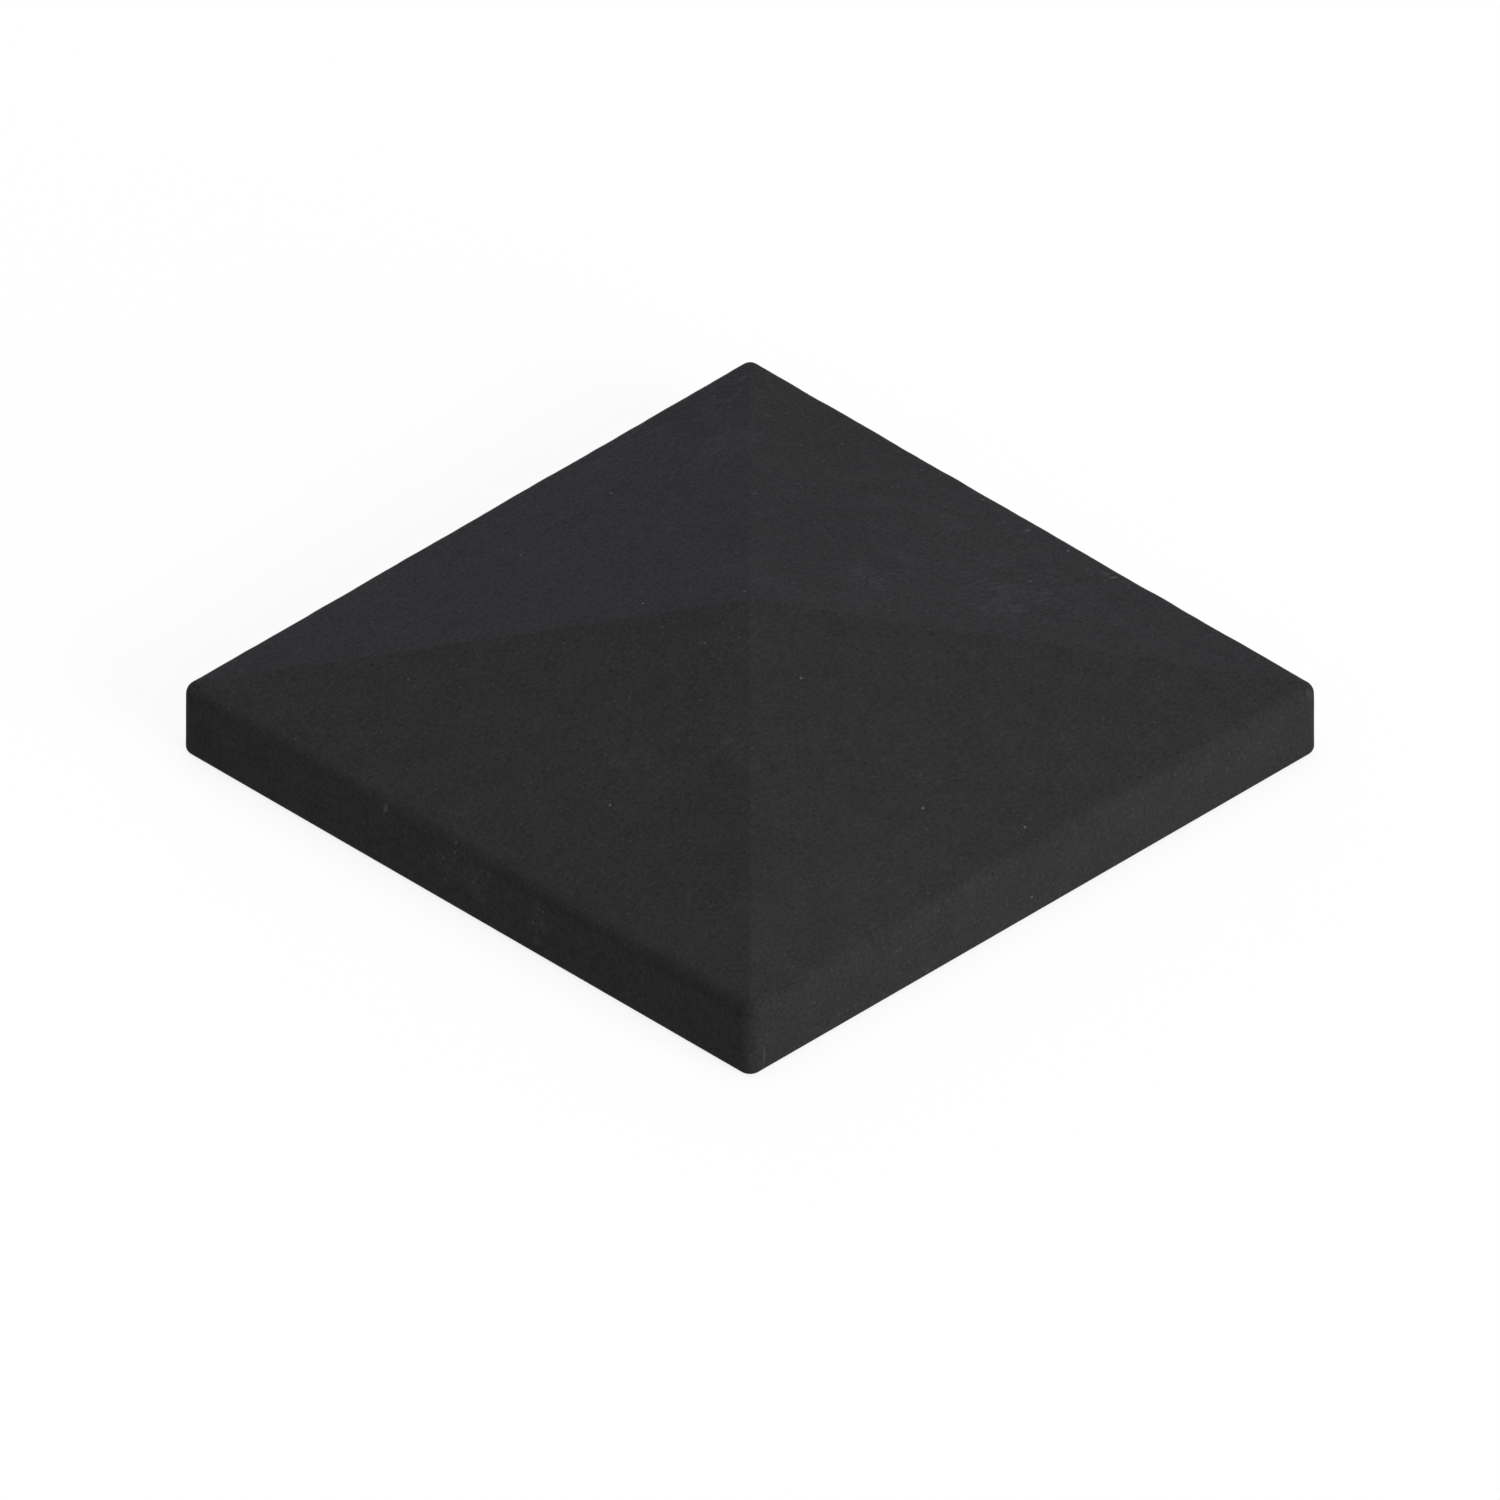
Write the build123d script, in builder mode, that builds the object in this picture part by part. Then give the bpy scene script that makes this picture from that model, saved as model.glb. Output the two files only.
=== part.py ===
from build123d import *
from math import atan, cos, tan
import os

# Pyramid cap for a square post, cast in one piece from dark concrete.
# Millimetres, +Z up. The origin is the middle of the bed, the flat face that lies on the post.

# Driving dimensions
cap_side = 300.0  # width of the square rim, face to face
rim_height = 30.5  # upright rim, from the bed to the sharp line of the eave
roof_rise = 38.5  # from the eave line to the sharp point of the peak
arris_radius = 5.2  # round on the eaves, the hips, the peak and the upright corners
bed_arris_radius = 3.0  # smaller round along the lower edge of the rim
groove_width = 10.0  # half-round drip groove that runs round the underside
groove_inset = 15.0  # from the face of the rim to the middle line of the groove

# Sharp core of the cap: every face lies one arris radius inside the finished face
roof_slope = atan(roof_rise / (cap_side / 2))
core_side = cap_side - 2 * arris_radius
core_eave = rim_height - arris_radius * (1 / cos(roof_slope) - tan(roof_slope))
core_peak = core_eave + core_side / 2 * tan(roof_slope)

# Distance from the middle of the bed to the middle line of the drip groove
groove_reach = cap_side / 2 - groove_inset

os.makedirs("parts", exist_ok=True)

with BuildPart() as pyramid_cap:
    # Square block with a four-sided point, all edges sharp
    with BuildSketch():
        Rectangle(core_side, core_side)
    extrude(amount=core_eave)
    eave_face = pyramid_cap.faces().sort_by(Axis.Z)[-1]
    loft(sections=[eave_face, Vertex(0, 0, core_peak)])

    # Grown by the arris radius, the flat faces reach their true places. Between them the edges
    # become rounds and the corners parts of a ball, as a mould with one radius leaves them.
    offset(amount=arris_radius, kind=Kind.ARC)

    # Flat bed, with a smaller round where the rim meets it
    split(bisect_by=Plane.XY, keep=Keep.TOP)
    bed_face = pyramid_cap.faces().sort_by(Axis.Z)[0]
    fillet(bed_face.edges(), radius=bed_arris_radius)

    # Drip groove: a round section follows a square line from the middle of one side, mitred at
    # the corners, and half of the section lies inside the cap
    with BuildLine() as groove_line:
        Polyline(
            (0, -groove_reach),
            (groove_reach, -groove_reach),
            (groove_reach, groove_reach),
            (-groove_reach, groove_reach),
            (-groove_reach, -groove_reach),
            close=True,
        )
    with BuildSketch(groove_line.line ^ 0):
        Circle(groove_width / 2)
    sweep(transition=Transition.RIGHT, mode=Mode.SUBTRACT)

pyramid_cap.part.label = "pyramid_cap"
export_step(pyramid_cap.part, "parts/pyramid_cap.step")
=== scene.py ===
# %% [markdown]
# # A pyramid cap in dark concrete
# This lesson dresses one finished part: a square cap that lies on top of a post or a pillar and
# sheds the rain. The CAD model gives its true size and form. Blender adds what a mould, a batch
# of concrete and some handling leave on it: sand grain, soft arrises, chips, bloom and haze.

# %% Load the frame
import math

import bpy
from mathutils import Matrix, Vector


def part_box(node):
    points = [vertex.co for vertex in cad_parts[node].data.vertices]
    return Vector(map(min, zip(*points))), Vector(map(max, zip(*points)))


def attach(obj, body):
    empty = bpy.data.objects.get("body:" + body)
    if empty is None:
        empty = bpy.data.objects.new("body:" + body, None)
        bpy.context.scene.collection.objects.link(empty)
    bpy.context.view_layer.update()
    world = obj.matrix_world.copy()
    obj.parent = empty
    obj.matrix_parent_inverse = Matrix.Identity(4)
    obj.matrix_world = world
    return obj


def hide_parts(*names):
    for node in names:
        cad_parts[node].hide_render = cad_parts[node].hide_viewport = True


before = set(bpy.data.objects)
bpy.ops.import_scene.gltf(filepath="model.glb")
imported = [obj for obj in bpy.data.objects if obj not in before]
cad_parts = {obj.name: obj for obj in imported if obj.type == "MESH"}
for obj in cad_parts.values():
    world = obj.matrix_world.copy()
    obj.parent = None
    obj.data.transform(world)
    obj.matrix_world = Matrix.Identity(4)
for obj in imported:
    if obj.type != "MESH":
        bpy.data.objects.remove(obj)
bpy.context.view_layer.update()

cap_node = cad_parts["pyramid_cap"]


def rounded(values):
    """Numbers short enough to print."""
    return [round(value, 4) for value in values]


# %% [markdown]
# ## The camera
# The photograph shows the cap as an isometric drawing does: all upright edges are parallel and
# the three axes are foreshortened alike. A perspective camera far away comes close to that. An
# orthographic one turned by 45 degrees and raised until the axes match gives it exactly. Its
# scale comes from the width of the cap in the photograph.

# %% Isometric camera
def direction(turn, rise):
    """Towards something that stands at a turn from +X to +Y, and at a rise above the floor."""
    return Vector((math.cos(turn) * math.cos(rise), math.sin(turn) * math.cos(rise), math.sin(rise)))


photo_side = 1500  # pixels along each side of the photograph
photo_span = 0.5582  # metres across the whole photograph
aim_point = Vector((0.0, 0.0, 0.00068))  # what the middle of the photograph looks at
towards_camera = direction(math.radians(-45), math.atan(1 / math.sqrt(2)))
camera_distance = 1.5

camera_data = bpy.data.cameras.new("isometric_camera")
camera_data.type = "ORTHO"
camera_data.ortho_scale = photo_span
camera = bpy.data.objects.new("isometric_camera", camera_data)
camera.location = aim_point + towards_camera * camera_distance
camera.rotation_mode = "QUATERNION"
camera.rotation_quaternion = (-towards_camera).to_track_quat("-Z", "Y")
bpy.context.scene.collection.objects.link(camera)
bpy.context.scene.camera = camera
bpy.context.view_layer.update()
print("camera at", rounded(camera.location))


# %% [markdown]
# ## From a pixel to a place
# Marks such as a chip or a smudge are found in the photograph, but they belong on the cap. One
# ray from the camera through a pixel hits the CAD solid at the place that the pixel shows, so
# each mark sits on the surface and stays there when the camera moves.

# %% Place on the cap behind a pixel
def seen_at(column, row):
    """The point of the CAD solid that the photograph shows at this pixel."""
    metres_per_pixel = photo_span / photo_side
    right = camera.rotation_quaternion @ Vector((1, 0, 0))
    up = camera.rotation_quaternion @ Vector((0, 1, 0))
    across = right * (column - photo_side / 2) * metres_per_pixel
    upward = up * (photo_side / 2 - row) * metres_per_pixel
    hit, place = cap_node.ray_cast(camera.location + across + upward, -towards_camera)[:2]
    if not hit:
        raise ValueError(f"no part of the cap lies behind pixel {column}, {row}")
    return place


peak_pixel = (750, 601)
print("behind the peak's pixel:", rounded(seen_at(*peak_pixel)))

# %% [markdown]
# ## Sizes from the CAD solid
# The cap is drawn again here with a finer mesh, and it must have the form of the CAD solid. Its
# sizes are therefore read from the solid's own corners: where a flat face ends, a round starts.

# %% Sizes of the cap
hair = 1e-5  # metres, closer than this counts as touching
roof_upward = 0.5  # a face whose normal rises more than this belongs to the roof
corners = [vertex.co for vertex in cap_node.data.vertices]
half_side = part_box("pyramid_cap")[1].x

rim_corners = [corner for corner in corners if abs(corner.x - half_side) < hair]
arris_radius = half_side - max(abs(corner.y) for corner in rim_corners)
bed_radius = min(corner.z for corner in rim_corners)
core_eave = max(corner.z for corner in rim_corners)

roof_faces = [face for face in cap_node.data.polygons if face.normal.z > roof_upward]
roof_slope = math.acos(max(roof_faces, key=lambda face: face.area).normal.z)
roof_pitch = math.tan(roof_slope)
eave_height = core_eave + arris_radius * (1 / math.cos(roof_slope) - roof_pitch)

bed_corners = [corner for corner in corners if abs(corner.z) < hair]
bed_lines = sorted({round(max(abs(corner.x), abs(corner.y)), 4) for corner in bed_corners})
groove_inside, groove_outside = bed_lines[:2]
print(f"arris {arris_radius:.4f}, bed arris {bed_radius:.4f}, eave {eave_height:.4f}")
print(f"slope {math.degrees(roof_slope):.2f} degrees, groove {groove_inside} to {groove_outside}")


# %% [markdown]
# ## Helpers for node trees
# Every shape and finish below is a node tree, and building one in code takes many like lines. A
# few short helpers keep them readable: one adds a node and fills its inputs, several do one sum
# each on numbers or vectors, and the last two start and end a tree.

# %% Node tree helpers
def add(tree, kind, inputs=(), **settings):
    """Adds a node. An input is linked where its value is a socket, and set where it is a value."""
    made = tree.nodes.new(kind)
    for name, value in settings.items():
        setattr(made, name, value)
    for key, value in dict(inputs).items():
        if isinstance(value, bpy.types.NodeSocket):
            tree.links.new(value, made.inputs[key])
        else:
            made.inputs[key].default_value = value
    return made


def output(*node, **settings):
    """Adds a node, and returns its first output."""
    return add(*node, **settings).outputs[0]


def maths(tree, operation, *terms):
    """One sum on numbers."""
    return output(tree, "ShaderNodeMath", enumerate(terms), operation=operation)


def times(tree, *terms):
    """The product of two numbers."""
    return maths(tree, "MULTIPLY", *terms)


def minus(tree, *terms):
    """The first number less the second."""
    return maths(tree, "SUBTRACT", *terms)


def vectors(tree, operation, *terms):
    """One sum on vectors."""
    return output(tree, "ShaderNodeVectorMath", enumerate(terms), operation=operation)


def scaled(tree, vector, length):
    """A vector made longer or shorter."""
    return output(tree, "ShaderNodeVectorMath", {0: vector, 3: length}, operation="SCALE")


def distance(tree, first, second):
    """How far apart two points are."""
    return add(tree, "ShaderNodeVectorMath", {0: first, 1: second}, operation="DISTANCE").outputs[1]


def xyz(tree, x=0.0, y=0.0, z=0.0):
    """A vector from three numbers."""
    return output(tree, "ShaderNodeCombineXYZ", {0: x, 1: y, 2: z})


def ramp(tree, value, start, end, low=0.0, high=1.0):
    """A soft step from low to high while the value goes from start to end."""
    limits = {0: value, 1: start, 2: end, 3: low, 4: high}
    return output(tree, "ShaderNodeMapRange", limits, interpolation_type="SMOOTHSTEP")


socket_kinds = {
    "shape": "NodeSocketGeometry",
    "number": "NodeSocketFloat",
    "vector": "NodeSocketVector",
    "yes_no": "NodeSocketBool",
    "material": "NodeSocketMaterial",
}


def numbers(*titles):
    """Sockets that all hold a number."""
    return dict.fromkeys(titles, "number")


def titled(values):
    """Values under socket titles, from argument names."""
    return {name.replace("_", " ").title(): value for name, value in values.items()}


def new_tree(name, takes, gives, kind="GeometryNodeTree"):
    """Starts a node group, and returns it with what it takes in and what it gives out."""
    tree = bpy.data.node_groups.new(name, kind)
    for way, sockets in (("INPUT", takes), ("OUTPUT", gives)):
        for title, sort in sockets.items():
            tree.interface.new_socket(title, in_out=way, socket_type=socket_kinds[sort])
    taken = tree.nodes.new("NodeGroupInput").outputs
    given = tree.nodes.new("NodeGroupOutput").inputs
    return tree, taken, given


def done(tree, given, *results):
    """Links the results of a tree to what it gives out, in order, and returns the tree."""
    for result, socket in zip(results, given):
        tree.links.new(result, socket)
    return tree


print("node helpers ready for", len(socket_kinds), "kinds of socket")

# %% [markdown]
# ## The block
# The mould starts as a square box, so the mesh starts as a block of small cells. Cells of one
# size would waste most of them on flat faces. Here the spacing follows the work instead: wide
# cells under the slopes, narrow ones across the drip groove, and narrow ones again at the rim,
# where the arrises turn. Vector maths does both directions of the plan at once.

# %% Block of cells
bed_cells = 66  # from the middle of the cap to the groove
groove_cells = 12  # across the groove
margin_cells = 16  # from the groove to the rim
rim_cells = 30  # up the rim
unit_block = (2, 2, 1)  # from -1 to 1 along X and Y, and one unit high
unit_lift = (0, 0, 0.5)  # sets the unit block on the ground


def moved(tree, shape, **how):
    """The shape with its points at a position or shifted by an offset, all or a selection."""
    return output(tree, "GeometryNodeSetPosition", {"Geometry": shape, **titled(how)})


def stretch(tree, along, start, end, width, **settings):
    """Maps the cells between start and end onto a width, and adds nothing before or after."""
    limits = {6: along, 7: start, 8: end, 9: (0, 0, 0), 10: width}
    made = add(tree, "ShaderNodeMapRange", limits, data_type="FLOAT_VECTOR", **settings)
    return made.outputs[1]


def block_tree():
    """A block with its bed on the ground, and its cells spaced for the work to come."""
    takes = numbers("Half Side", "Rim Height", "Groove Inside", "Groove Outside")
    tree, taken, given = new_tree("block of cells", takes, {"Block": "shape"})
    cells = bed_cells + groove_cells + margin_cells
    groove_start = bed_cells / cells
    groove_end = (bed_cells + groove_cells) / cells
    counts = {"Vertices X": 2 * cells + 1, "Vertices Y": 2 * cells + 1}
    counts.update({"Vertices Z": rim_cells + 1, "Size": unit_block})
    cube = output(tree, "GeometryNodeMeshCube", counts)

    place = output(tree, "GeometryNodeInputPosition")
    on_ground = vectors(tree, "ADD", place, unit_lift)
    along = vectors(tree, "ABSOLUTE", on_ground)
    inside = taken["Groove Inside"]
    across = minus(tree, taken["Groove Outside"], inside)
    margin = minus(tree, taken["Half Side"], taken["Groove Outside"])
    first = (groove_start, groove_start, 0)
    second = (groove_end, groove_end, 0)
    bed_part = stretch(tree, along, (0, 0, 0), (groove_start, groove_start, 1),
                       xyz(tree, inside, inside, taken["Rim Height"]))
    groove_part = stretch(tree, along, first, (groove_end, groove_end, 1),
                          xyz(tree, across, across), interpolation_type="SMOOTHSTEP")
    margin_part = stretch(tree, along, second, (1, 1, 1), xyz(tree, margin, margin))
    spread = vectors(tree, "ADD", vectors(tree, "ADD", bed_part, groove_part), margin_part)
    signed = vectors(tree, "MULTIPLY", spread, vectors(tree, "SIGN", on_ground))
    return done(tree, given, moved(tree, cube, position=signed))


block_group = block_tree()
print("block group has", len(block_group.nodes), "nodes")


# %% [markdown]
# ## The four slopes
# The roof is a pyramid with a square plan, so its height depends only on how far out a point
# lies, measured square: the larger of its two distances from the middle. That same measure says
# later where the groove runs, so it has a small group of its own.

# %% Pitch of the roof
def square_reach_tree():
    """How far out a point lies, measured square, and how high."""
    gives = numbers("Reach", "Height")
    tree, taken, given = new_tree("square reach", {}, gives)
    place = output(tree, "GeometryNodeInputPosition")
    x, y, z = add(tree, "ShaderNodeSeparateXYZ", {0: place}).outputs
    reach = maths(tree, "MAXIMUM", maths(tree, "ABSOLUTE", x), maths(tree, "ABSOLUTE", y))
    return done(tree, given, reach, z)


square_reach_group = square_reach_tree()


def square_reach(tree):
    """The reach and the height of each point, as two sockets."""
    return add(tree, "GeometryNodeGroup", node_tree=square_reach_group).outputs


def roof_tree():
    """Lifts the top of the block into four slopes that meet in a point."""
    takes = {"Block": "shape", **numbers("Half Side", "Rim Height", "Pitch")}
    tree, taken, given = new_tree("four slopes", takes, {"Block": "shape"})
    reach, height = square_reach(tree)
    top = maths(tree, "GREATER_THAN", height, minus(tree, taken["Rim Height"], hair))
    run = minus(tree, taken["Half Side"], reach)
    lift = xyz(tree, z=times(tree, run, taken["Pitch"]))
    return done(tree, given, moved(tree, taken["Block"], selection=top, offset=lift))


roof_group = roof_tree()
print("roof group has", len(roof_group.nodes), "nodes")

# %% [markdown]
# ## The arrises
# An arris is the edge where two faces meet. A mould for concrete has no sharp ones, because they
# would break off. A Bevel modifier could round them, but it needs clean edge loops and leaves
# odd corners. This way copies the CAD source: take a smaller cap with sharp edges as a core, and
# push each point of the block to one radius from the nearest point of that core. Flat faces stay
# where they are, edges become rounds and corners become parts of a ball. The lower edge has a
# smaller radius, so the same group works there a second time on a flat plate as its core.

# %% Cores, and growing from them
plate_corner_steps = 12  # along each round corner of the flat plate


def roof_core_tree():
    """The sharp core of the cap: a box with a four-sided cone on it."""
    takes = numbers("Core Half", "Core Eave", "Pitch")
    tree, taken, given = new_tree("roof core", takes, {"Core": "shape"})
    side = times(tree, taken["Core Half"], 2.0)
    box_size = xyz(tree, side, side, taken["Core Eave"])
    box = output(tree, "GeometryNodeMeshCube", {"Size": box_size})
    box_lift = xyz(tree, z=times(tree, taken["Core Eave"], 0.5))
    box = output(tree, "GeometryNodeTransform", {"Geometry": box, "Translation": box_lift})
    cone_sizes = {
        "Vertices": 4,
        "Radius Top": 0.0,
        "Radius Bottom": times(tree, taken["Core Half"], math.sqrt(2)),
        "Depth": times(tree, taken["Core Half"], taken["Pitch"]),
    }
    cone = output(tree, "GeometryNodeMeshCone", cone_sizes)
    turn = {"Geometry": cone, "Rotation": (0, 0, math.radians(45))}
    turn["Translation"] = xyz(tree, z=taken["Core Eave"])
    cone = output(tree, "GeometryNodeTransform", turn)
    joined = add(tree, "GeometryNodeJoinGeometry")
    tree.links.new(box, joined.inputs[0])
    tree.links.new(cone, joined.inputs[0])
    return done(tree, given, joined.outputs[0])


def bed_core_tree():
    """A flat plate with round corners, one bed radius above the bed and inside the rim."""
    takes = numbers("Half Side", "Arris Radius", "Bed Radius")
    tree, taken, given = new_tree("bed core", takes, {"Core": "shape"})
    half = minus(tree, taken["Half Side"], taken["Bed Radius"])
    side = times(tree, half, 2.0)
    square = add(tree, "GeometryNodeCurvePrimitiveQuadrilateral", {"Width": side, "Height": side})
    turn = minus(tree, taken["Arris Radius"], taken["Bed Radius"])
    rounds = {"Curve": square.outputs[0], "Radius": turn, "Count": plate_corner_steps}
    outline = output(tree, "GeometryNodeFilletCurve", rounds, mode="POLY")
    plate = output(tree, "GeometryNodeFillCurve", {"Curve": outline}, mode="NGONS")
    lift = {"Geometry": plate, "Translation": xyz(tree, z=taken["Bed Radius"])}
    return done(tree, given, output(tree, "GeometryNodeTransform", lift))


def grow_tree():
    """Sets the selected points one radius off the nearest point of a core."""
    takes = {"Block": "shape", "Core": "shape", "Radius": "number", "Selection": "yes_no"}
    tree, taken, given = new_tree("grown from a core", takes, {"Block": "shape"})
    place = output(tree, "GeometryNodeInputPosition")
    nearest = output(tree, "GeometryNodeProximity", {0: taken["Core"]}, target_element="FACES")
    outward = vectors(tree, "NORMALIZE", vectors(tree, "SUBTRACT", place, nearest))
    grown = vectors(tree, "ADD", nearest, scaled(tree, outward, taken["Radius"]))
    block = moved(tree, taken["Block"], selection=taken["Selection"], position=grown)
    return done(tree, given, block)


roof_core_group = roof_core_tree()
bed_core_group = bed_core_tree()
grow_group = grow_tree()
print("arris groups:", roof_core_group.name, "+", bed_core_group.name, "+", grow_group.name)


# %% [markdown]
# ## The drip groove
# Under the overhang runs a half-round groove. Water that creeps along the underside drips off
# there and stays away from the pillar. A boolean with a ring of tube would cut it too, but it
# tears the even cells. Here the points of the bed rise along a half circle, and the square
# measure makes the mitres at the corners by itself.

# %% Drip groove
def groove_tree():
    """Raises the bed along a half-round groove."""
    takes = {"Block": "shape", **numbers("Groove Inside", "Groove Outside")}
    tree, taken, given = new_tree("drip groove", takes, {"Block": "shape"})
    reach, height = square_reach(tree)
    total = maths(tree, "ADD", taken["Groove Inside"], taken["Groove Outside"])
    width = minus(tree, taken["Groove Outside"], taken["Groove Inside"])
    off_middle = minus(tree, reach, times(tree, total, 0.5))
    radius = times(tree, width, 0.5)
    radius_square = times(tree, radius, radius)
    off_square = times(tree, off_middle, off_middle)
    inside_square = minus(tree, radius_square, off_square)
    depth = maths(tree, "SQRT", maths(tree, "MAXIMUM", inside_square, 0.0))
    on_bed = maths(tree, "LESS_THAN", height, hair)
    block = moved(tree, taken["Block"], selection=on_bed, offset=xyz(tree, z=depth))
    return done(tree, given, block)


groove_group = groove_tree()
print("groove group has", len(groove_group.nodes), "nodes")

# %% [markdown]
# ## Hand wear
# A cast face is never quite flat, and the eaves of a cap get rubbed and knocked. All of that only
# takes material away, so the worn cap stays inside its CAD box. One group sinks the points by a
# noise, as far as a mask lets it. It runs twice: with slow waves over all faces but the bed, which
# stays true, and with shorter ones along the eaves, where the arris wanders a little. A chip is a
# shallow scoop with a ragged outline at one place, and the same group is used for each.

# %% Uneven faces, rubbed eaves and chips
wave_detail = 2.0  # finer waves on each slow one
wave_start, wave_full = 0.2, 0.8  # of the noise, from no depth to the full one
chip_ripples = 700.0  # per metre, round the outline of a chip
chip_least = 0.5  # share of its radius that a chip reaches at least


def sunk(tree, shape, depth):
    """The shape with its points moved inwards by a depth."""
    normal = output(tree, "GeometryNodeInputNormal")
    inward = scaled(tree, normal, times(tree, depth, -1.0))
    return moved(tree, shape, offset=inward)


def sink_tree():
    """Sinks the points by a noise, as far as the mask lets it."""
    takes = {"Block": "shape", **numbers("Depth", "Wave", "Mask")}
    tree, taken, given = new_tree("sunk by noise", takes, {"Block": "shape"})
    place = output(tree, "GeometryNodeInputPosition")
    scale = maths(tree, "DIVIDE", 1.0, taken["Wave"])
    waves = {"Vector": place, "Scale": scale, "Detail": wave_detail}
    noise = output(tree, "ShaderNodeTexNoise", waves)
    depth = times(tree, ramp(tree, noise, wave_start, wave_full), taken["Depth"])
    depth = times(tree, depth, taken["Mask"])
    return done(tree, given, sunk(tree, taken["Block"], depth))


def chip_tree():
    """Knocks a shallow ragged scoop out of one place."""
    takes = {"Block": "shape", "Place": "vector", **numbers("Radius", "Depth")}
    tree, taken, given = new_tree("chip", takes, {"Block": "shape"})
    place = output(tree, "GeometryNodeInputPosition")
    ripples = {"Vector": place, "Scale": chip_ripples}
    share = maths(tree, "ADD", output(tree, "ShaderNodeTexNoise", ripples), chip_least)
    reach = times(tree, taken["Radius"], share)
    scoop = ramp(tree, distance(tree, place, taken["Place"]), 0.0, reach, 1.0, 0.0)
    depth = times(tree, scoop, taken["Depth"])
    return done(tree, given, sunk(tree, taken["Block"], depth))


uneven_depth, uneven_wave = 0.00012, 0.035
rubbed_depth, rubbed_wave = 0.00032, 0.014
eave_chip_pixel = (385, 808)
lower_chip_pixel = (536, 942)
chips = [  # place, radius, depth
    (seen_at(*eave_chip_pixel), 0.0026, 0.0007),
    (seen_at(*lower_chip_pixel), 0.0042, 0.0008),
    # on the two sides that the photograph doesn't show
    (Vector((-half_side, 0.071, bed_radius)), 0.0040, 0.0008),
    (Vector((-0.043, half_side, bed_radius)), 0.0036, 0.0007),
    (Vector((-half_side, -0.052, core_eave)), 0.0028, 0.0006),
]
sink_group = sink_tree()
chip_group = chip_tree()
print(len(chips), "chips, the first at", rounded(chips[0][0]))

# %% [markdown]
# ## Sand grain
# Each finish reads Object coordinates, which are metres in the cap's own frame, so grain of one
# millimetre is one millimetre on every face. The concrete was wiped in one direction while it was
# fresh, which drags the grain out a little along Y: stretching the coordinates does the same. Both
# materials use this group with their own values.

# %% Sand grain group
wiped = (1.0, 0.70, 0.80)  # times the coordinates: less of them is longer grain
grain_detail = 3.0  # finer grain in each coarse one
fine_roughness, blotch_roughness = 0.70, 0.65  # how strong that finer grain is
tint_detail = 1.0
tint_shift = (1.0, 2.0, 3.0)  # metres to another stretch of noise
blue_start, blue_full = 0.50, 0.70  # of the tint's noise


def grain_tree():
    """Fine sand in its cement skin, slow blotches, and where the colour leans to blue."""
    takes = {"Vector": "vector", **numbers("Grain", "Blotch")}
    gives = numbers("Tone", "Blotch Tone", "Blue")
    tree, taken, given = new_tree("sand grain", takes, gives, "ShaderNodeTree")

    def noise(vector, size, detail, **more):
        """A noise whose grains have a size in metres."""
        values = {"Vector": vector, "Scale": maths(tree, "DIVIDE", 1.0, size), "Detail": detail, **more}
        return output(tree, "ShaderNodeTexNoise", values)

    drawn = vectors(tree, "MULTIPLY", taken["Vector"], wiped)
    elsewhere = vectors(tree, "ADD", taken["Vector"], tint_shift)
    tone = noise(drawn, taken["Grain"], grain_detail, Roughness=fine_roughness)
    blotch = noise(drawn, taken["Blotch"], grain_detail, Roughness=blotch_roughness)
    tint = noise(elsewhere, taken["Blotch"], tint_detail)
    return done(tree, given, tone, blotch, ramp(tree, tint, blue_start, blue_full))


grain_group = grain_tree()
print("grain group has", len(grain_group.nodes), "nodes")

# %% [markdown]
# ## Single sand grains
# Pale and dark grains of sand show through the cement skin, and here and there lies a bright grain
# of quartz. Voronoi cells give scattered points, and a point that lies close to the surface shows
# there as a dot. Each cell's own random colour makes most dots faint and only a few strong. A faint
# dot may be round, but one that stands out needs a ragged edge: a second group shifts its coordinates
# by a little noise first. On the bed the same groups make the air pores.

# %% Scattered dots groups
dot_core = 0.3  # share of a dot's radius that has its full strength
ripples_per_radius = 0.8
ripple_throw = 2.0  # swing of the noise at a ragged edge, in radii of the dot


def ragged_tree():
    """Coordinates shifted by a little noise, for dots with a ragged edge."""
    takes = {"Vector": "vector", "Radius": "number"}
    tree, taken, given = new_tree("ragged", takes, {"Vector": "vector"}, "ShaderNodeTree")
    ripple_scale = maths(tree, "DIVIDE", ripples_per_radius, taken["Radius"])
    ripples = {"Vector": taken["Vector"], "Scale": ripple_scale, "Detail": 0.0}
    ripple = add(tree, "ShaderNodeTexNoise", ripples).outputs["Color"]
    shift = vectors(tree, "SUBTRACT", ripple, (0.5, 0.5, 0.5))
    throw = times(tree, taken["Radius"], ripple_throw)
    shifted = vectors(tree, "ADD", taken["Vector"], scaled(tree, shift, throw))
    return done(tree, given, shifted)


def dots_tree():
    """Dots scattered through the concrete, as a mask. A high rarity leaves few strong ones."""
    takes = {"Vector": "vector", **numbers("Spacing", "Radius", "Rarity")}
    tree, taken, given = new_tree("scattered dots", takes, {"Mask": "number"}, "ShaderNodeTree")
    scale = maths(tree, "DIVIDE", 1.0, taken["Spacing"])
    cells = add(tree, "ShaderNodeTexVoronoi", {"Vector": taken["Vector"], "Scale": scale}).outputs
    edge = times(tree, taken["Radius"], scale)
    core = times(tree, edge, dot_core)
    chance = output(tree, "ShaderNodeSeparateXYZ", {0: cells["Color"]})
    strength = maths(tree, "POWER", chance, taken["Rarity"])
    return done(tree, given, ramp(tree, cells["Distance"], core, edge, strength, 0.0))


ragged_group = ragged_tree()
dots_group = dots_tree()
print("dot groups:", ragged_group.name, "+", dots_group.name)

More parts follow.
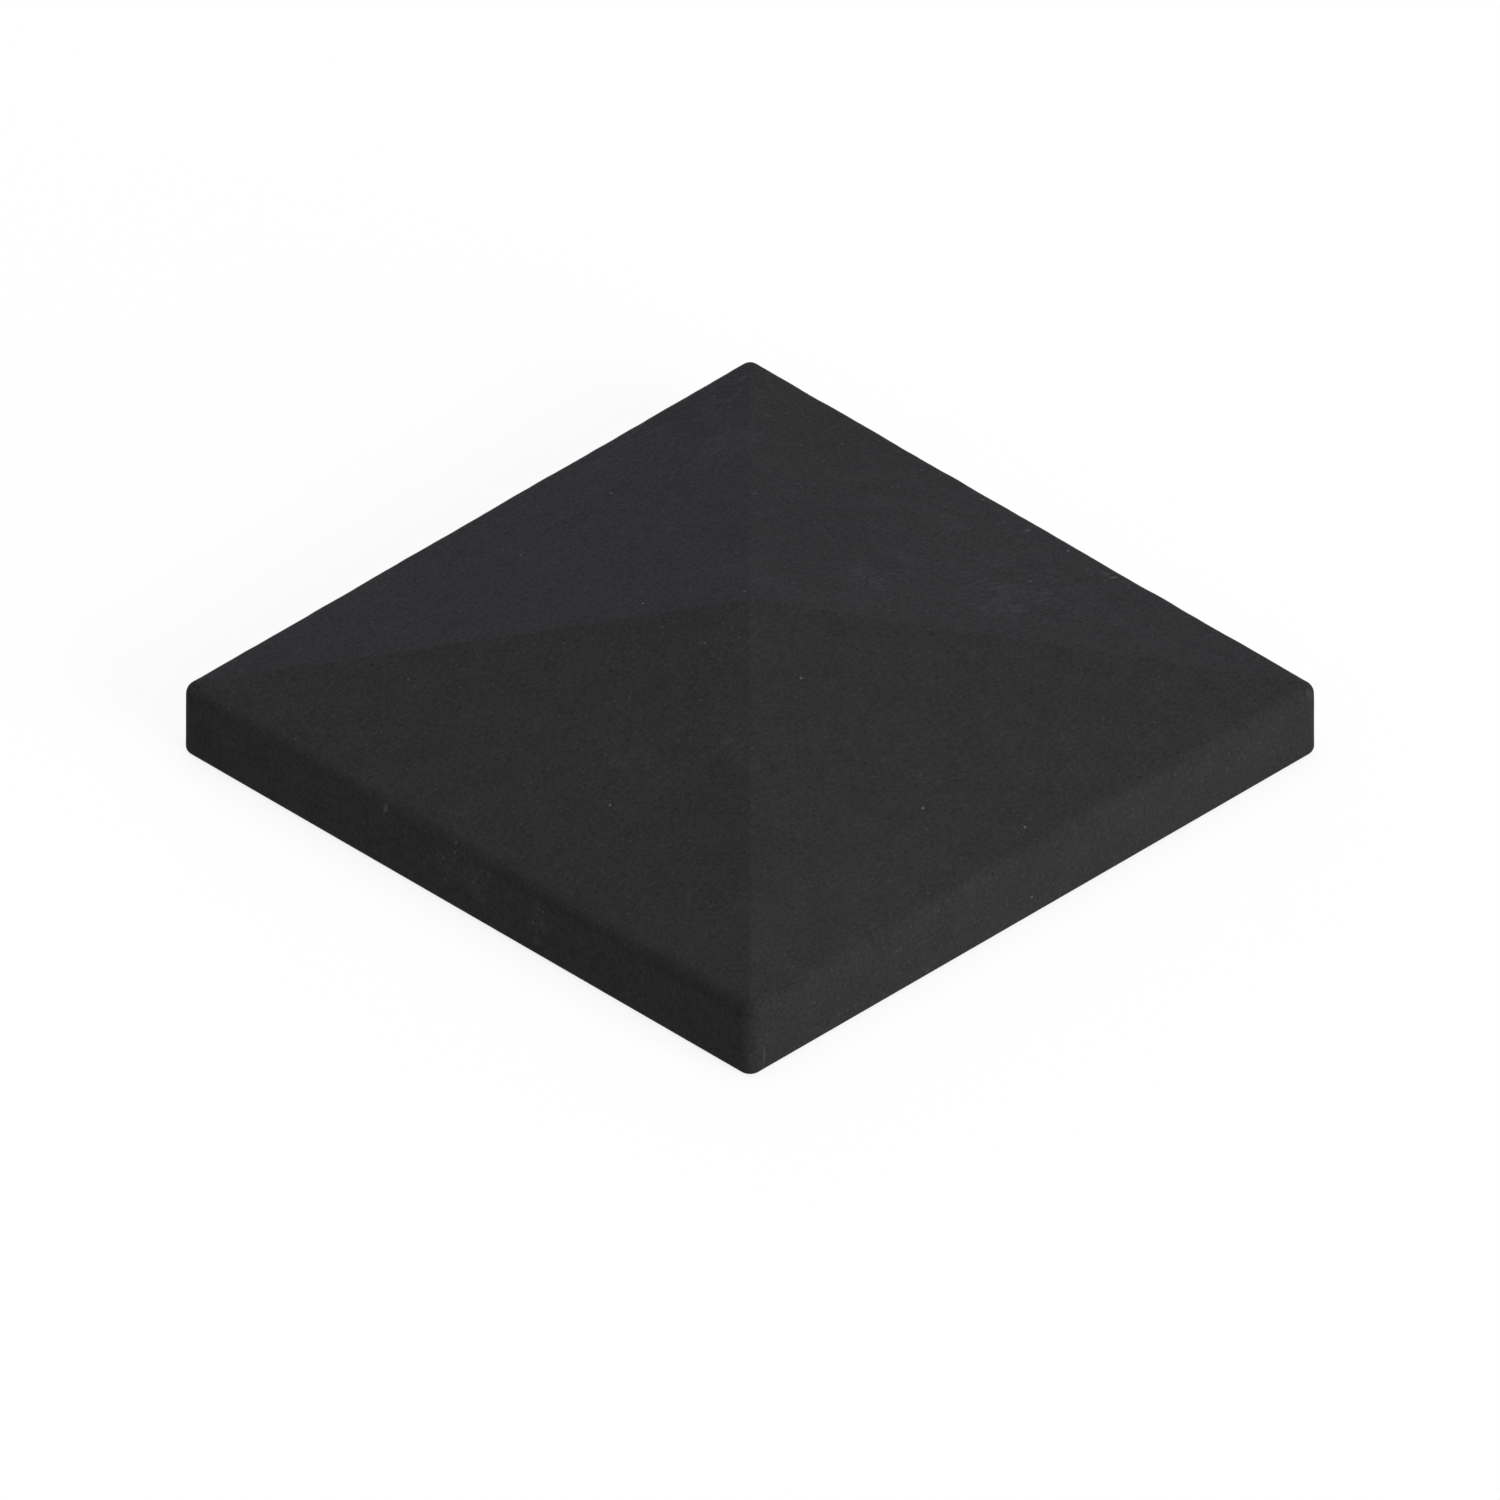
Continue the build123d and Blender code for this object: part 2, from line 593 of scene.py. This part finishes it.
# %% [markdown]
# ## Patches and strokes
# Pale haze lies on the slopes, where lime has bloomed out or a hand wiped it. Rubbed places show
# pale grains, there is a scratch beside the front corner, and under the left eave lies a line of
# painted shade. All of these are soft patches at places that the photograph gives. A patch alone
# would look like a spray, so haze is broken up into long strokes along Y and a rubbed place into single
# dots.

# %% Patch and stroke groups
stroke_grain = (750.0, 150.0, 600.0)  # strokes per metre in each direction
stroke_detail, stroke_roughness = 3.0, 0.6
cloud_scale, cloud_detail = 80.0, 1.0  # clouds per metre, in which the strokes come and go
cloud_bend = 0.004  # metres by which the clouds bend the strokes
line_share, cloud_share = 0.6, 0.4
stroke_start, stroke_full = 0.42, 0.72  # of lines and clouds together


def patch_tree():
    """A patch round one place, as a mask. It is full in its core and fades out at its reach."""
    takes = {"Vector": "vector", "Place": "vector", "Reach": "vector", **numbers("Core", "Strength")}
    tree, taken, given = new_tree("patch", takes, {"Mask": "number"}, "ShaderNodeTree")
    here = vectors(tree, "DIVIDE", taken["Vector"], taken["Reach"])
    middle = vectors(tree, "DIVIDE", taken["Place"], taken["Reach"])
    apart = distance(tree, here, middle)
    return done(tree, given, ramp(tree, apart, taken["Core"], 1.0, taken["Strength"], 0.0))


def strokes_tree():
    """Long fine strokes that come and go, as a mask."""
    takes, gives = {"Vector": "vector"}, {"Mask": "number"}
    tree, taken, given = new_tree("strokes", takes, gives, "ShaderNodeTree")
    cloud = {"Vector": taken["Vector"], "Scale": cloud_scale, "Detail": cloud_detail}
    clouds = add(tree, "ShaderNodeTexNoise", cloud).outputs
    bent = vectors(tree, "ADD", taken["Vector"], scaled(tree, clouds["Color"], cloud_bend))
    drawn = vectors(tree, "MULTIPLY", bent, stroke_grain)
    fine = {"Vector": drawn, "Scale": 1.0, "Detail": stroke_detail, "Roughness": stroke_roughness}
    lines = times(tree, output(tree, "ShaderNodeTexNoise", fine), line_share)
    both = maths(tree, "ADD", lines, times(tree, clouds[0], cloud_share))
    return done(tree, given, ramp(tree, both, stroke_start, stroke_full))


patch_group = patch_tree()
strokes_group = strokes_tree()
print("mark groups:", patch_group.name, "+", strokes_group.name)

# %% [markdown]
# ## Colours and marks
# The colours are those of the bare concrete, of what lies on it, and of painted light and shade.
# The marks were picked out of the photograph one by one. Each has the pixel at its middle, how many
# millimetres it reaches and how strong it is. A round mark has one reach, and a long one has three,
# along X, Y and Z. Some marks are painted light and shade: faint pale and dark patches that even
# out how the lamps light a face, and bring its slow tone closer.

# %% Colours and places of the marks
cement_dark = (0.0117, 0.0117, 0.01145, 1)
cement_pale = (0.0437, 0.0437, 0.04275, 1)
cement_blue = (0.990, 0.995, 1.030)  # times the cement, where it leans to blue
quartz = (0.22, 0.22, 0.22, 1)
quartz_faint = (0.11, 0.11, 0.11, 1)
sand_pale = (0.053, 0.053, 0.052, 1)
sand_dark = (0.0120, 0.0120, 0.0120, 1)
lime_bloom = (0.074, 0.075, 0.079, 1)
# pale of rubbed wear and chips, and also painted light where a faint mark evens out a face's tone
pale_wear_and_painted_light = (0.090, 0.090, 0.089, 1)
# painted shade: an olive dark under the left eave, at the front corner and beside the back hip
olive_painted_shade = (0.010, 0.0098, 0.0075, 1)
# painted shade: a grey dark beside the back hip
grey_painted_shade = (0.0098, 0.0100, 0.0108, 1)
rust_brown = (0.014, 0.0125, 0.0085, 1)

millimetres = 1000  # in a metre
soft_core = 0.1  # share of a patch that is full, where nothing else is said
faint_haze = 0.10  # strength of the haze where there is no patch of it
hazes = [  # pixel, reach, strength
    # on the back right slope
    ((1022, 592), 34, 0.26),
    ((1005, 608), 36, 0.20),
    ((884, 581), 18, 0.60),
    ((917, 555), 14, 0.18),
    ((960, 535), 60, 0.12),
    # on the back left slope
    ((727, 446), 22, 0.30),
    ((608, 466), 12, 0.40),
    ((636, 436), 14, 0.30),
    ((735, 400), 30, 0.16),
    # on the front slopes
    ((732, 745), 15, 0.38),
    ((640, 750), 40, 0.10),
    ((618, 765), 8, 0.26),
    ((867, 925), 10, 0.22),
    # on the left rim
    ((466, 873), (20, 8, 14), 0.50),
    ((500, 905), (16, 8, 14), 0.35),
    ((538, 928), (8, 8, 14), 0.50),
]
rubbed_places = [  # pixel, reach, strength
    # at the back corner and the peak
    ((735, 395), (26, 26, 20), 0.3),
    ((724, 632), (17, 17, 12), 0.4),
    # on the left rim
    ((462, 868), (26, 8, 16), 1.0),
    ((538, 928), (7, 8, 15), 0.9),
    # along the back right eave
    ((1030, 529), (14, 7, 7), 0.4),
    ((1068, 553), (6, 5, 5), 1.0),
    ((1104, 574), (12, 6, 6), 1.0),
    ((1126, 586), (6, 5, 5), 1.0),
    # faintly over the slopes
    ((940, 930), (35, 35, 20), 0.1),
    ((640, 740), (45, 45, 30), 0.15),
    ((960, 560), (60, 60, 30), 0.12),
]


def mark(pixel, reach, strength, colour=pale_wear_and_painted_light, core=soft_core):
    """One mark of its own colour, with what most of them share."""
    return pixel, reach, strength, colour, core


single_marks = [
    # painted light and shade: slow tones that even out the lamps' light on the right rim and the front
    # slopes
    mark((1063, 828), (60, 160, 50), 0.030),
    mark((1250, 752), (30, 110, 22), 0.055),
    # painted light: pale bands along the lower arrises stand in for light from the floor
    mark((465, 906), (170, 6, 5), 0.050, core=0.5),
    mark((1035, 906), (6, 170, 5), 0.025, core=0.5),
    mark((820, 930), (45, 55, 25), 0.050),
    # painted shade at the front corner, under the eave
    mark((775, 1015), (14, 22, 12), 0.070, olive_painted_shade),
    mark((715, 945), (50, 45, 30), 0.034),
    mark((540, 765), (110, 90, 50), 0.012),
    mark((744, 645), 22, 0.030),
    mark((890, 858), (55, 55, 30), 0.026),
    mark((722, 712), 17, 0.045),
    # painted light and shade on both sides of the back hip: paler on the left, darker on the right, to
    # even out the lamps' light across the hip
    mark((733, 420), 14, 0.060),
    mark((729, 568), 22, 0.060),
    mark((820, 528), 54, 0.145, grey_painted_shade),
    mark((776, 570), 18, 0.090, grey_painted_shade),
    mark((776, 476), 14, 0.090, grey_painted_shade),
    mark((790, 410), (100, 60, 50), 0.180, olive_painted_shade),
    # a painted highlight on the right corner's arris, the two chips and the scratch
    mark((1310, 694), (2.6, 2.6, 5), 0.25),
    mark(eave_chip_pixel, (1.7, 1.7, 2.8), 0.85, core=0.3),
    mark(lower_chip_pixel, (3.4, 3.4, 2.6), 0.50),
    mark((764, 1055), (2, 0.6, 6.2), 0.60),
    # single strokes and smudges on the slopes
    mark((1104, 573), (4.5, 2, 2), 0.30),
    mark((1016, 606), (0.7, 17, 6), 0.14),
    mark((1022, 598), (0.6, 14, 6), 0.11),
    mark((1006, 615), (0.8, 15, 6), 0.12),
    mark((732, 442), (11, 14, 20), 0.10, lime_bloom, 0.3),
    mark((712, 455), (7, 9, 20), 0.08, lime_bloom, 0.3),
    mark((732, 466), (0.6, 11, 6), 0.14),
    mark((742, 378), (1.2, 3, 3), 0.35, core=0.2),
    mark((767, 415), (3, 1.2, 3), 0.30, core=0.2),
    mark((733, 753), (0.7, 7.5, 6), 0.16),
    mark((727, 745), (0.6, 6.5, 6), 0.13),
    # brown stains, and a line of painted shade under the left eave
    mark((1078, 580), (2.2, 4, 2), 0.60, rust_brown),
    mark((202, 736), (8, 6, 9), 0.25, rust_brown, 0.3),
    # painted shade: a dark band just under the left eave's arris
    mark((608, 929), (110, 5.2, 5.2), 0.13, olive_painted_shade, 0.7),
    mark((725, 997), (52, 5.2, 5.2), 0.18, olive_painted_shade, 0.7),
]
grain_reach, grain_core = 0.8, 0.3
bright_grains = [  # pixel, strength
    ((643, 603), 0.55), ((521, 555), 0.36), ((745, 591), 0.36), ((611, 493), 0.42),
    ((1030, 581), 0.38), ((889, 610), 0.28), ((610, 805), 0.50), ((705, 643), 0.30),
    ((923, 808), 0.60), ((801, 678), 0.55), ((1025, 827), 0.60), ((1032, 897), 0.45),
]
print(len(hazes), "hazes,", len(rubbed_places), "rubbed places,", len(single_marks), "single marks")

# %% [markdown]
# ## Helpers for materials
# Both finishes start alike, with Object coordinates and one shader, and end alike: a colour, a
# roughness that follows the grain, and bump. A dark matte stone reflects little, so the specular
# level is low, and as it is the same all over, it is set on the shader itself.

# %% Material helpers
tone_start, tone_end = 0.3, 0.7  # between these lies most of a tone's noise
matte_specular = 0.12


def colour_mix(tree, factor, first, second):
    """One colour turning into another."""
    mixed = add(tree, "ShaderNodeMix", {0: factor, 6: first, 7: second}, data_type="RGBA")
    return mixed.outputs[2]


def empty_material(name):
    """A material and its empty tree."""
    material = bpy.data.materials.new(name)
    material.use_nodes = True
    material.node_tree.nodes.clear()
    return material, material.node_tree


def new_material(name):
    """A material with its tree, its Object coordinates and its shader."""
    material, tree = empty_material(name)
    where = add(tree, "ShaderNodeTexCoord").outputs["Object"]
    shader = add(tree, "ShaderNodeBsdfPrincipled")
    shader.inputs["Specular IOR Level"].default_value = matte_specular
    add(tree, "ShaderNodeOutputMaterial", {"Surface": shader.outputs[0]})
    return material, tree, where, shader


def group(tree, node_tree, **values):
    """One of the groups above with its own values, as the sockets that it gives out."""
    return add(tree, "ShaderNodeGroup", titled(values), node_tree=node_tree).outputs


def dots(tree, where, spacing, radius, rarity):
    """Scattered dots of one size, as a mask."""
    return group(tree, dots_group, vector=where, spacing=spacing, radius=radius, rarity=rarity)[0]


def ragged_dots(tree, where, spacing, radius, rarity):
    """Scattered dots with a ragged edge, as a mask."""
    shifted = group(tree, ragged_group, vector=where, radius=radius)[0]
    return dots(tree, shifted, spacing, radius, rarity)


def patch(tree, where, pixel, reach, strength, core):
    """One patch of a given strength at a place that the photograph shows, as a mask."""
    reaches = reach if isinstance(reach, tuple) else (reach, reach, reach)
    metres = [size / millimetres for size in reaches]
    values = {"place": seen_at(*pixel), "reach": metres, "core": core, "strength": strength}
    return group(tree, patch_group, vector=where, **values)[0]


def patches(tree, where, places, mask=0.0, core=soft_core):
    """Several patches added to one mask."""
    for pixel, reach, strength in places:
        mask = maths(tree, "ADD", mask, patch(tree, where, pixel, reach, strength, core))
    return mask


def cement(tree, where, grain, blotch, dark, pale, swing):
    """Two greys mixed by the grain, under slow blotches: the colour, the tone and the blue."""
    grains = group(tree, grain_group, vector=where, grain=grain, blotch=blotch)
    colour = colour_mix(tree, grains["Tone"], dark, pale)
    blotches = ramp(tree, grains["Blotch Tone"], tone_start, tone_end, 1 - swing, 1 + swing)
    return scaled(tree, colour, blotches), grains["Tone"], grains["Blue"]


def dress(tree, shader, colour, tone, roughest, smoothest):
    """Gives the shader its colour, and a roughness that follows the grain."""
    tree.links.new(colour, shader.inputs["Base Color"])
    roughness = ramp(tree, tone, tone_start, tone_end, roughest, smoothest)
    tree.links.new(roughness, shader.inputs["Roughness"])


def emboss(tree, shader, height, depth, strength):
    """Gives the shader bump from a height."""
    bump = {"Height": height, "Distance": depth, "Strength": strength}
    tree.links.new(output(tree, "ShaderNodeBump", bump), shader.inputs["Normal"])


print("material helpers ready, specular level", matte_specular)

# %% [markdown]
# ## The cast face
# This is the skin that lay against the mould: dark, through-coloured and matte. The colour moves
# between two greys with the grain, a slow blotchiness lies over it, and sand, marks and bright
# grains come last. An image of real concrete would be quicker, but it would repeat, and it would
# have the light of its own photograph in it.

# %% Cast face material
cast_grain, cast_blotch = 0.0012, 0.011  # metres
cast_swing = 0.055  # how far a blotch is darker or paler than the cement
cast_rough, cast_smooth = 0.92, 0.80
cast_bump_depth, cast_bump_strength = 0.0003, 0.08
dark_sand = (0.0031, 0.0008, 2.2)  # spacing, radius, rarity
pale_sand = (0.0030, 0.0007, 2.2)
bright_sand = (0.0072, 0.0007, 4.5)
rubbed_sand = (0.0026, 0.0008, 2.0)
rubbed_drag = (1.0, 0.45, 1.0)  # draws the rubbed sand out along Y


def marked(tree, where, colour):
    """The colour with haze, rubbed places, single marks (some of them painted light and shade) and
    bright grains on it.
    """
    haze = patches(tree, where, hazes, faint_haze)
    strokes = group(tree, strokes_group, vector=where)[0]
    colour = colour_mix(tree, times(tree, haze, strokes), colour, lime_bloom)
    rubbed = patches(tree, where, rubbed_places)
    drawn = vectors(tree, "MULTIPLY", where, rubbed_drag)
    sprinkles = ragged_dots(tree, drawn, *rubbed_sand)
    colour = colour_mix(tree, times(tree, rubbed, sprinkles), colour, quartz)
    for pixel, reach, strength, tint, core in single_marks:
        colour = colour_mix(tree, patch(tree, where, pixel, reach, strength, core), colour, tint)
    grains = [(pixel, grain_reach, strength) for pixel, strength in bright_grains]
    return colour_mix(tree, patches(tree, where, grains, core=grain_core), colour, quartz)


def cast_face_material():
    """The moulded skin of the slopes and the rim."""
    material, tree, where, shader = new_material("cast_face")
    greys = (cement_dark, cement_pale)
    colour, tone, blue = cement(tree, where, cast_grain, cast_blotch, *greys, cast_swing)
    bluish = vectors(tree, "MULTIPLY", colour, cement_blue)
    colour = colour_mix(tree, blue, colour, bluish)
    colour = colour_mix(tree, dots(tree, where, *dark_sand), colour, sand_dark)
    colour = colour_mix(tree, dots(tree, where, *pale_sand), colour, sand_pale)
    colour = marked(tree, where, colour)
    colour = colour_mix(tree, ragged_dots(tree, where, *bright_sand), colour, quartz_faint)
    dress(tree, shader, colour, tone, cast_rough, cast_smooth)
    emboss(tree, shader, tone, cast_bump_depth, cast_bump_strength)
    return material


cast_face = cast_face_material()
print("cast face material has", len(cast_face.node_tree.nodes), "nodes")

# %% [markdown]
# ## The struck bed
# The underside was the open side of the mould. It was struck off with a board, so it is coarser
# and paler than the cast face, with air pores. It uses the same groups with other values.

# %% Struck bed material
bed_dark = (0.026, 0.026, 0.026, 1)
bed_pale = (0.074, 0.074, 0.073, 1)
pore_black = (0.008, 0.008, 0.008, 1)
bed_grain, bed_blotch = 0.0022, 0.030  # metres
bed_swing = 0.15
bed_rough, bed_smooth = 0.98, 0.88
bed_bump_depth, bed_bump_strength = 0.0006, 0.5
bed_pores = (0.0060, 0.0014, 2.0)  # spacing, radius, rarity
pore_depth = 2.0  # times the height of the grain


def struck_bed_material():
    """The struck underside, with pores."""
    material, tree, where, shader = new_material("struck_bed")
    greys = (bed_dark, bed_pale)
    colour, tone = cement(tree, where, bed_grain, bed_blotch, *greys, bed_swing)[:2]
    pores = ragged_dots(tree, where, *bed_pores)
    colour = colour_mix(tree, pores, colour, pore_black)
    dress(tree, shader, colour, tone, bed_rough, bed_smooth)
    height = minus(tree, tone, times(tree, pores, pore_depth))
    emboss(tree, shader, height, bed_bump_depth, bed_bump_strength)
    return material


struck_bed = struck_bed_material()
print("struck bed material has", len(struck_bed.node_tree.nodes), "nodes")

# %% [markdown]
# ## The whole cap
# One tree now runs the steps in the order of the work: block, slopes, arrises, groove, wear. The
# cells are cut into triangles along their longer diagonal before the wear, because that one lies
# along the hips and keeps them straight. Only the lip of the groove is a sharp edge.

# %% Cap tree
lip_angle = math.radians(40)
uneven_from = 3.0  # radii of the bed arris above the bed, where faces start to be fully uneven
rubbed_reach = 1.4  # radii of the arris round the eave line
cap_sizes = {
    "Half Side": half_side,
    "Eave Height": eave_height,
    "Pitch": roof_pitch,
    "Arris Radius": arris_radius,
    "Bed Radius": bed_radius,
    "Core Eave": core_eave,
    "Groove Inside": groove_inside,
    "Groove Outside": groove_outside,
    "Uneven Depth": uneven_depth,
    "Uneven Wave": uneven_wave,
    "Rubbed Depth": rubbed_depth,
    "Rubbed Wave": rubbed_wave,
}
cap_finishes = {"Cast Face": cast_face, "Struck Bed": struck_bed}


def cap_tree():
    """All steps of the cap, from the block to its two finishes."""
    takes = {**numbers(*cap_sizes), **dict.fromkeys(cap_finishes, "material")}
    tree, taken, given = new_tree("pyramid cap", takes, {"Cap": "shape"})

    def step(node_tree, **inputs):
        """Places one of the groups above, and returns what it makes."""
        return output(tree, "GeometryNodeGroup", titled(inputs), node_tree=node_tree)

    half, rim, pitch = taken["Half Side"], taken["Eave Height"], taken["Pitch"]
    arris, bed, eave = taken["Arris Radius"], taken["Bed Radius"], taken["Core Eave"]
    grooves = {"groove_inside": taken["Groove Inside"], "groove_outside": taken["Groove Outside"]}
    block = step(block_group, half_side=half, rim_height=rim, **grooves)
    block = step(roof_group, block=block, half_side=half, rim_height=rim, pitch=pitch)

    core_side = minus(tree, half, arris)
    roof_core = step(roof_core_group, core_half=core_side, core_eave=eave, pitch=pitch)
    bed_core = step(bed_core_group, half_side=half, arris_radius=arris, bed_radius=bed)
    reach, height = square_reach(tree)
    upper = maths(tree, "GREATER_THAN", height, bed)
    lower = minus(tree, 1.0, upper)
    block = step(grow_group, block=block, core=roof_core, radius=arris, selection=upper)
    block = step(grow_group, block=block, core=bed_core, radius=bed, selection=lower)
    block = step(groove_group, block=block, **grooves)

    block = output(tree, "GeometryNodeTriangulate", {"Mesh": block}, quad_method="LONGEST_DIAGONAL")
    off_bed = ramp(tree, height, bed, times(tree, bed, uneven_from))
    off_eave = distance(tree, xyz(tree, reach, height), xyz(tree, half, rim))
    at_eave = ramp(tree, off_eave, 0.0, times(tree, arris, rubbed_reach), 1.0, 0.0)
    for sort, mask in (("Uneven", off_bed), ("Rubbed", at_eave)):
        sizes = {"depth": taken[sort + " Depth"], "wave": taken[sort + " Wave"]}
        block = step(sink_group, block=block, mask=mask, **sizes)
    for place, radius, depth in chips:
        block = step(chip_group, block=block, place=place, radius=radius, depth=depth)

    angle = output(tree, "GeometryNodeInputMeshEdgeAngle")
    lips = maths(tree, "GREATER_THAN", angle, lip_angle)
    smooth = {"Geometry": block, "Selection": lips, "Shade Smooth": False}
    block = output(tree, "GeometryNodeSetShadeSmooth", smooth, domain="EDGE")
    block = output(tree, "GeometryNodeRealizeInstances", {"Geometry": block})
    under = maths(tree, "LESS_THAN", height, times(tree, rim, 0.5))
    inside_rim = maths(tree, "LESS_THAN", reach, minus(tree, half, bed))
    bed_faces = times(tree, under, inside_rim)
    for faces, finish in ((True, "Cast Face"), (bed_faces, "Struck Bed")):
        dressing = {"Geometry": block, "Selection": faces, "Material": taken[finish]}
        block = output(tree, "GeometryNodeSetMaterial", dressing)
    return done(tree, given, block)


cap_group = cap_tree()
print("cap tree has", len(cap_group.nodes), "nodes")

# %% [markdown]
# ## From nodes to a plain mesh
# The sizes go into the modifier by each socket's identifier, because names may repeat. The
# evaluated result is then copied to a plain mesh and the modifier removed, so the finished piece
# carries its place and form in its own points.

# %% Finished piece
cap = bpy.data.objects.new("cast_cap", bpy.data.meshes.new("cast_cap_start"))
bpy.context.scene.collection.objects.link(cap)
form = cap.modifiers.new("pyramid cap", "NODES")
form.node_group = cap_group
cap_values = {**cap_sizes, **cap_finishes}
for socket in cap_group.interface.items_tree:
    if socket.in_out == "INPUT":
        form[socket.identifier] = cap_values[socket.name]

evaluated_cap = cap.evaluated_get(bpy.context.evaluated_depsgraph_get())
finished_mesh = bpy.data.meshes.new_from_object(evaluated_cap)
finished_mesh.name = "cast_cap"
cap.modifiers.clear()
cap.data = finished_mesh
empty_slots = [place for place, finish in enumerate(finished_mesh.materials) if finish is None]
for place in reversed(empty_slots):
    finished_mesh.materials.pop(index=place)
for place, finish in enumerate(finished_mesh.materials):
    dressed = sum(1 for face in finished_mesh.polygons if face.material_index == place)
    print(finish.name, "covers", dressed, "triangles")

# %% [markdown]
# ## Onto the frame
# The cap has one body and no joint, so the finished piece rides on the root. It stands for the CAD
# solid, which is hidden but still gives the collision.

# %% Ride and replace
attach(cap, "root")
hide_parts("pyramid_cap")
print("the finished cap stands for the CAD node", cap_node.name)

# %% [markdown]
# ## The floor
# The photograph is cut out on white. A pale floor that the camera sees as nearly white gives that
# and still holds a faint shadow: most of its light is a steady glow, and a small share answers to
# the lamps. Other rays see a plain pale floor, so the glow doesn't light the cap. A hole as wide
# as the drip groove, hidden by the cap, lets the bed be looked at from below.

# %% Floor
floor_reach = 4.0
floor_gap = 0.0002  # below the bed, so that the two faces don't meet
floor_pale = (0.62, 0.62, 0.62, 1)
floor_glow = 0.86  # what the camera sees of the floor in full shadow
floor_answer = (0.22, 0.22, 0.22, 1)  # answers to the lamps, and brings the open floor to white
white = (1.0, 1.0, 1.0, 1)


def square_ring(outer, inner, height):
    """A flat square with a square hole, as points and faces."""
    turns = [(-1, -1), (1, -1), (1, 1), (-1, 1)]
    points = [(x * outer, y * outer, height) for x, y in turns]
    points += [(x * inner, y * inner, height) for x, y in turns]
    faces = [(side, (side + 1) % 4, (side + 1) % 4 + 4, side + 4) for side in range(4)]
    return points, faces


def seen_directly(tree):
    """One for rays that show the background: from the camera, a reflection or glass."""
    path = add(tree, "ShaderNodeLightPath").outputs
    mirrored = maths(tree, "MAXIMUM", path["Is Glossy Ray"], path["Is Transmission Ray"])
    return maths(tree, "MAXIMUM", path["Is Camera Ray"], mirrored)


def shader_mix(tree, factor, first, second):
    """One shader turning into another."""
    return output(tree, "ShaderNodeMixShader", {0: factor, 1: first, 2: second})


def floor_material():
    """White to the camera, pale to the light, and clear from below."""
    material, tree = empty_material("pale_floor")
    pale = output(tree, "ShaderNodeBsdfDiffuse", {"Color": floor_pale})
    lit = output(tree, "ShaderNodeBsdfDiffuse", {"Color": floor_answer})
    glow = output(tree, "ShaderNodeEmission", {"Color": white, "Strength": floor_glow})
    shown = output(tree, "ShaderNodeAddShader", {0: glow, 1: lit})
    surface = shader_mix(tree, seen_directly(tree), pale, shown)
    clear = output(tree, "ShaderNodeBsdfTransparent")
    from_below = add(tree, "ShaderNodeNewGeometry").outputs["Backfacing"]
    surface = shader_mix(tree, from_below, surface, clear)
    add(tree, "ShaderNodeOutputMaterial", {"Surface": surface})
    return material


floor_points, floor_faces = square_ring(floor_reach, groove_outside, -floor_gap)
floor_mesh = bpy.data.meshes.new("floor")
floor_mesh.from_pydata(floor_points, [], floor_faces)
floor_mesh.materials.append(floor_material())
floor = bpy.data.objects.new("floor", floor_mesh)
bpy.context.scene.collection.objects.link(floor)
print("floor facing up:", floor_mesh.polygons[0].normal.z > 0)

# %% [markdown]
# ## Light
# Each slope in the photograph is evenly lit, so the light comes from far away: suns with a wide
# disc, and an even sky. The key stands to the right and fills the right rim. A second one above
# gives the slopes their level. A weak bluish one stands low behind the cap and only skims the two
# back slopes, which the camera sees at a shallow angle, so they show a cool sheen.

# %% Suns and sky
sky_strength = 0.163
plain_light = (1.0, 1.0, 1.0)
cool_light = (0.42, 0.44, 1.0)


def sun(name, azimuth, elevation, strength, colour, disc):
    """A far light. The azimuth turns from +X towards +Y, and all angles are in degrees."""
    data = bpy.data.lights.new(name, "SUN")
    data.energy = strength
    data.color = colour
    data.angle = math.radians(disc)
    lamp = bpy.data.objects.new(name, data)
    towards_lamp = direction(math.radians(azimuth), math.radians(elevation))
    lamp.rotation_mode = "QUATERNION"
    lamp.rotation_quaternion = towards_lamp.to_track_quat("Z", "Y")
    lamp.location = towards_lamp * camera_distance
    bpy.context.scene.collection.objects.link(lamp)


sun("key_light", azimuth=0, elevation=15, strength=2.13, colour=plain_light, disc=40)
sun("top_light", azimuth=0, elevation=90, strength=0.900, colour=plain_light, disc=60)
sun("back_light", azimuth=144, elevation=14, strength=0.40, colour=cool_light, disc=40)

world = bpy.data.worlds.new("studio")
bpy.context.scene.world = world
world.use_nodes = True
sky = world.node_tree
sky.nodes.clear()
even = output(sky, "ShaderNodeBackground", {"Color": white, "Strength": sky_strength})
plain = output(sky, "ShaderNodeBackground", {"Color": white, "Strength": 1.0})
add(sky, "ShaderNodeOutputWorld", {"Surface": shader_mix(sky, seen_directly(sky), even, plain)})
bpy.context.scene.view_settings.view_transform = "Standard"
